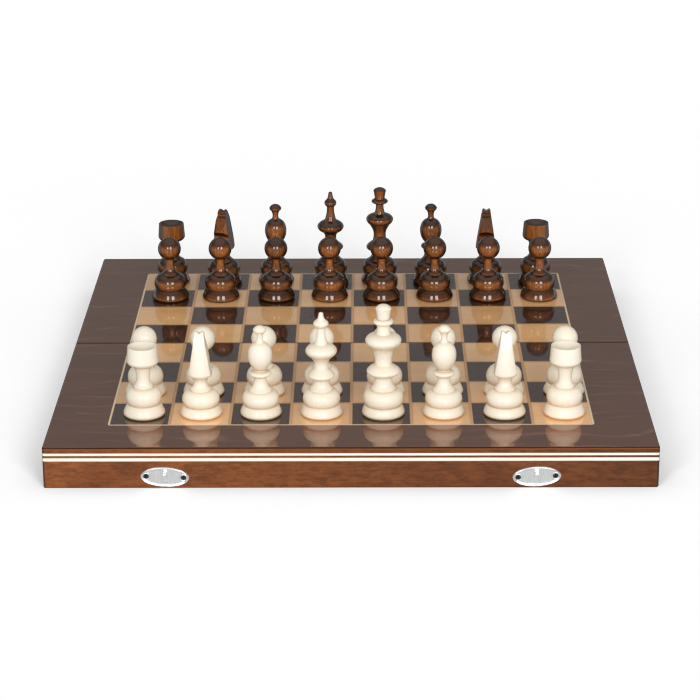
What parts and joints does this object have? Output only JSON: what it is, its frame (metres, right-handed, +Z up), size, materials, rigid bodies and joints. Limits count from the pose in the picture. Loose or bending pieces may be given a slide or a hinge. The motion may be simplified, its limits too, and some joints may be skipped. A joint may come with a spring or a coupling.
{
  "type": "folding chess and backgammon board",
  "caption": "Hinged wooden box opened flat as an inlaid chessboard, with turned men set up on it, backgammon points inside, and hook latches that hold it closed.",
  "frame": {"origin": "on the table under the middle of the open board, at the level of the hinge barrels' lowest line", "axes": "+Z up from the table, X along the seam between the halves, -Y towards the latch wall with the keepers"},
  "size_m": [0.48, 0.489, 0.1287],
  "materials": {
    "wall_wood": "reddish brown stained wood under gloss lacquer",
    "panel_wood": "brown plywood panel under gloss lacquer",
    "border_veneer": "dark brown veneer with fine wavy grain under gloss lacquer",
    "dark_square_veneer": "near black brown veneer under gloss lacquer",
    "light_square_veneer": "golden tan veneer under gloss lacquer",
    "pale_line_wood": "pale maple inlay under gloss lacquer",
    "screw_steel": "plated steel",
    "nickel_plate": "satin nickel plating",
    "pale_men_wood": "cream wood under satin lacquer",
    "dark_men_wood": "brown stained wood with darker shading under gloss lacquer"
  },
  "bodies": {
    "front_half": {"front_latch_wall": "wall_wood", "front_frame_walls": "wall_wood", "front_panel": "panel_wood", "front_border_veneer": "border_veneer", "front_dark_squares": "dark_square_veneer", "front_light_squares": "light_square_veneer", "front_maple_lines": "pale_line_wood", "front_dark_points": "dark_square_veneer", "front_light_points": "light_square_veneer", "front_screws": "screw_steel", "front_hinge_leaves": "nickel_plate", "hinge_pins": "nickel_plate", "keeper_plates": "nickel_plate"},
    "rear_half": {"rear_latch_wall": "wall_wood", "rear_frame_walls": "wall_wood", "rear_panel": "panel_wood", "rear_border_veneer": "border_veneer", "rear_dark_squares": "dark_square_veneer", "rear_light_squares": "light_square_veneer", "rear_maple_lines": "pale_line_wood", "rear_dark_points": "dark_square_veneer", "rear_light_points": "light_square_veneer", "rear_screws": "screw_steel", "rear_hinge_leaves": "nickel_plate", "hook_plates": "nickel_plate", "hook_rivets": "nickel_plate"},
    "left_hook": {"left_hook": "nickel_plate"},
    "right_hook": {"right_hook": "nickel_plate"},
    "white_rook_a": {"white_rook_a": "pale_men_wood"},
    "white_knight_b": {"white_knight_b": "pale_men_wood"},
    "white_bishop_c": {"white_bishop_c": "pale_men_wood"},
    "white_queen": {"white_queen": "pale_men_wood"},
    "white_king": {"white_king": "pale_men_wood"},
    "white_bishop_f": {"white_bishop_f": "pale_men_wood"},
    "white_knight_g": {"white_knight_g": "pale_men_wood"},
    "white_rook_h": {"white_rook_h": "pale_men_wood"},
    "white_pawn_a": {"white_pawn_a": "pale_men_wood"},
    "white_pawn_b": {"white_pawn_b": "pale_men_wood"},
    "white_pawn_c": {"white_pawn_c": "pale_men_wood"},
    "white_pawn_d": {"white_pawn_d": "pale_men_wood"},
    "white_pawn_e": {"white_pawn_e": "pale_men_wood"},
    "white_pawn_f": {"white_pawn_f": "pale_men_wood"},
    "white_pawn_g": {"white_pawn_g": "pale_men_wood"},
    "white_pawn_h": {"white_pawn_h": "pale_men_wood"},
    "dark_rook_a": {"dark_rook_a": "dark_men_wood"},
    "dark_knight_b": {"dark_knight_b": "dark_men_wood"},
    "dark_bishop_c": {"dark_bishop_c": "dark_men_wood"},
    "dark_queen": {"dark_queen": "dark_men_wood"},
    "dark_king": {"dark_king": "dark_men_wood"},
    "dark_bishop_f": {"dark_bishop_f": "dark_men_wood"},
    "dark_knight_g": {"dark_knight_g": "dark_men_wood"},
    "dark_rook_h": {"dark_rook_h": "dark_men_wood"},
    "dark_pawn_a": {"dark_pawn_a": "dark_men_wood"},
    "dark_pawn_b": {"dark_pawn_b": "dark_men_wood"},
    "dark_pawn_c": {"dark_pawn_c": "dark_men_wood"},
    "dark_pawn_d": {"dark_pawn_d": "dark_men_wood"},
    "dark_pawn_e": {"dark_pawn_e": "dark_men_wood"},
    "dark_pawn_f": {"dark_pawn_f": "dark_men_wood"},
    "dark_pawn_g": {"dark_pawn_g": "dark_men_wood"},
    "dark_pawn_h": {"dark_pawn_h": "dark_men_wood"}
  },
  "joints": [
    {"name": "board_fold", "type": "hinge", "parent": "front_half", "child": "rear_half", "pos_m": [0, 0, 0.0016], "axis": [-1, 0, 0], "range_deg": [0, 180]},
    {"name": "hook_left", "type": "hinge", "parent": "rear_half", "child": "left_hook", "pos_m": [-0.145, 0.24, 0.01125], "axis": [0, 1, 0], "range_deg": [-90, 90]},
    {"name": "hook_right", "type": "hinge", "parent": "rear_half", "child": "right_hook", "pos_m": [0.145, 0.24, 0.01125], "axis": [0, -1, 0], "range_deg": [-90, 90]},
    {"name": "lift_white_rook_a", "type": "slide", "parent": "front_half", "child": "white_rook_a", "axis": [0, 0, 1], "range_m": [0, 0.11]},
    {"name": "lift_white_knight_b", "type": "slide", "parent": "front_half", "child": "white_knight_b", "axis": [0, 0, 1], "range_m": [0, 0.11]},
    {"name": "lift_white_bishop_c", "type": "slide", "parent": "front_half", "child": "white_bishop_c", "axis": [0, 0, 1], "range_m": [0, 0.11]},
    {"name": "lift_white_queen", "type": "slide", "parent": "front_half", "child": "white_queen", "axis": [0, 0, 1], "range_m": [0, 0.11]},
    {"name": "lift_white_king", "type": "slide", "parent": "front_half", "child": "white_king", "axis": [0, 0, 1], "range_m": [0, 0.11]},
    {"name": "lift_white_bishop_f", "type": "slide", "parent": "front_half", "child": "white_bishop_f", "axis": [0, 0, 1], "range_m": [0, 0.11]},
    {"name": "lift_white_knight_g", "type": "slide", "parent": "front_half", "child": "white_knight_g", "axis": [0, 0, 1], "range_m": [0, 0.11]},
    {"name": "lift_white_rook_h", "type": "slide", "parent": "front_half", "child": "white_rook_h", "axis": [0, 0, 1], "range_m": [0, 0.11]},
    {"name": "lift_white_pawn_a", "type": "slide", "parent": "front_half", "child": "white_pawn_a", "axis": [0, 0, 1], "range_m": [0, 0.11]},
    {"name": "lift_white_pawn_b", "type": "slide", "parent": "front_half", "child": "white_pawn_b", "axis": [0, 0, 1], "range_m": [0, 0.11]},
    {"name": "lift_white_pawn_c", "type": "slide", "parent": "front_half", "child": "white_pawn_c", "axis": [0, 0, 1], "range_m": [0, 0.11]},
    {"name": "lift_white_pawn_d", "type": "slide", "parent": "front_half", "child": "white_pawn_d", "axis": [0, 0, 1], "range_m": [0, 0.11]},
    {"name": "lift_white_pawn_e", "type": "slide", "parent": "front_half", "child": "white_pawn_e", "axis": [0, 0, 1], "range_m": [0, 0.11]},
    {"name": "lift_white_pawn_f", "type": "slide", "parent": "front_half", "child": "white_pawn_f", "axis": [0, 0, 1], "range_m": [0, 0.11]},
    {"name": "lift_white_pawn_g", "type": "slide", "parent": "front_half", "child": "white_pawn_g", "axis": [0, 0, 1], "range_m": [0, 0.11]},
    {"name": "lift_white_pawn_h", "type": "slide", "parent": "front_half", "child": "white_pawn_h", "axis": [0, 0, 1], "range_m": [0, 0.11]},
    {"name": "lift_dark_rook_a", "type": "slide", "parent": "rear_half", "child": "dark_rook_a", "axis": [0, 0, 1], "range_m": [0, 0.11]},
    {"name": "lift_dark_knight_b", "type": "slide", "parent": "rear_half", "child": "dark_knight_b", "axis": [0, 0, 1], "range_m": [0, 0.11]},
    {"name": "lift_dark_bishop_c", "type": "slide", "parent": "rear_half", "child": "dark_bishop_c", "axis": [0, 0, 1], "range_m": [0, 0.11]},
    {"name": "lift_dark_queen", "type": "slide", "parent": "rear_half", "child": "dark_queen", "axis": [0, 0, 1], "range_m": [0, 0.11]},
    {"name": "lift_dark_king", "type": "slide", "parent": "rear_half", "child": "dark_king", "axis": [0, 0, 1], "range_m": [0, 0.11]},
    {"name": "lift_dark_bishop_f", "type": "slide", "parent": "rear_half", "child": "dark_bishop_f", "axis": [0, 0, 1], "range_m": [0, 0.11]},
    {"name": "lift_dark_knight_g", "type": "slide", "parent": "rear_half", "child": "dark_knight_g", "axis": [0, 0, 1], "range_m": [0, 0.11]},
    {"name": "lift_dark_rook_h", "type": "slide", "parent": "rear_half", "child": "dark_rook_h", "axis": [0, 0, 1], "range_m": [0, 0.11]},
    {"name": "lift_dark_pawn_a", "type": "slide", "parent": "rear_half", "child": "dark_pawn_a", "axis": [0, 0, 1], "range_m": [0, 0.11]},
    {"name": "lift_dark_pawn_b", "type": "slide", "parent": "rear_half", "child": "dark_pawn_b", "axis": [0, 0, 1], "range_m": [0, 0.11]},
    {"name": "lift_dark_pawn_c", "type": "slide", "parent": "rear_half", "child": "dark_pawn_c", "axis": [0, 0, 1], "range_m": [0, 0.11]},
    {"name": "lift_dark_pawn_d", "type": "slide", "parent": "rear_half", "child": "dark_pawn_d", "axis": [0, 0, 1], "range_m": [0, 0.11]},
    {"name": "lift_dark_pawn_e", "type": "slide", "parent": "rear_half", "child": "dark_pawn_e", "axis": [0, 0, 1], "range_m": [0, 0.11]},
    {"name": "lift_dark_pawn_f", "type": "slide", "parent": "rear_half", "child": "dark_pawn_f", "axis": [0, 0, 1], "range_m": [0, 0.11]},
    {"name": "lift_dark_pawn_g", "type": "slide", "parent": "rear_half", "child": "dark_pawn_g", "axis": [0, 0, 1], "range_m": [0, 0.11]},
    {"name": "lift_dark_pawn_h", "type": "slide", "parent": "rear_half", "child": "dark_pawn_h", "axis": [0, 0, 1], "range_m": [0, 0.11]}
  ]
}
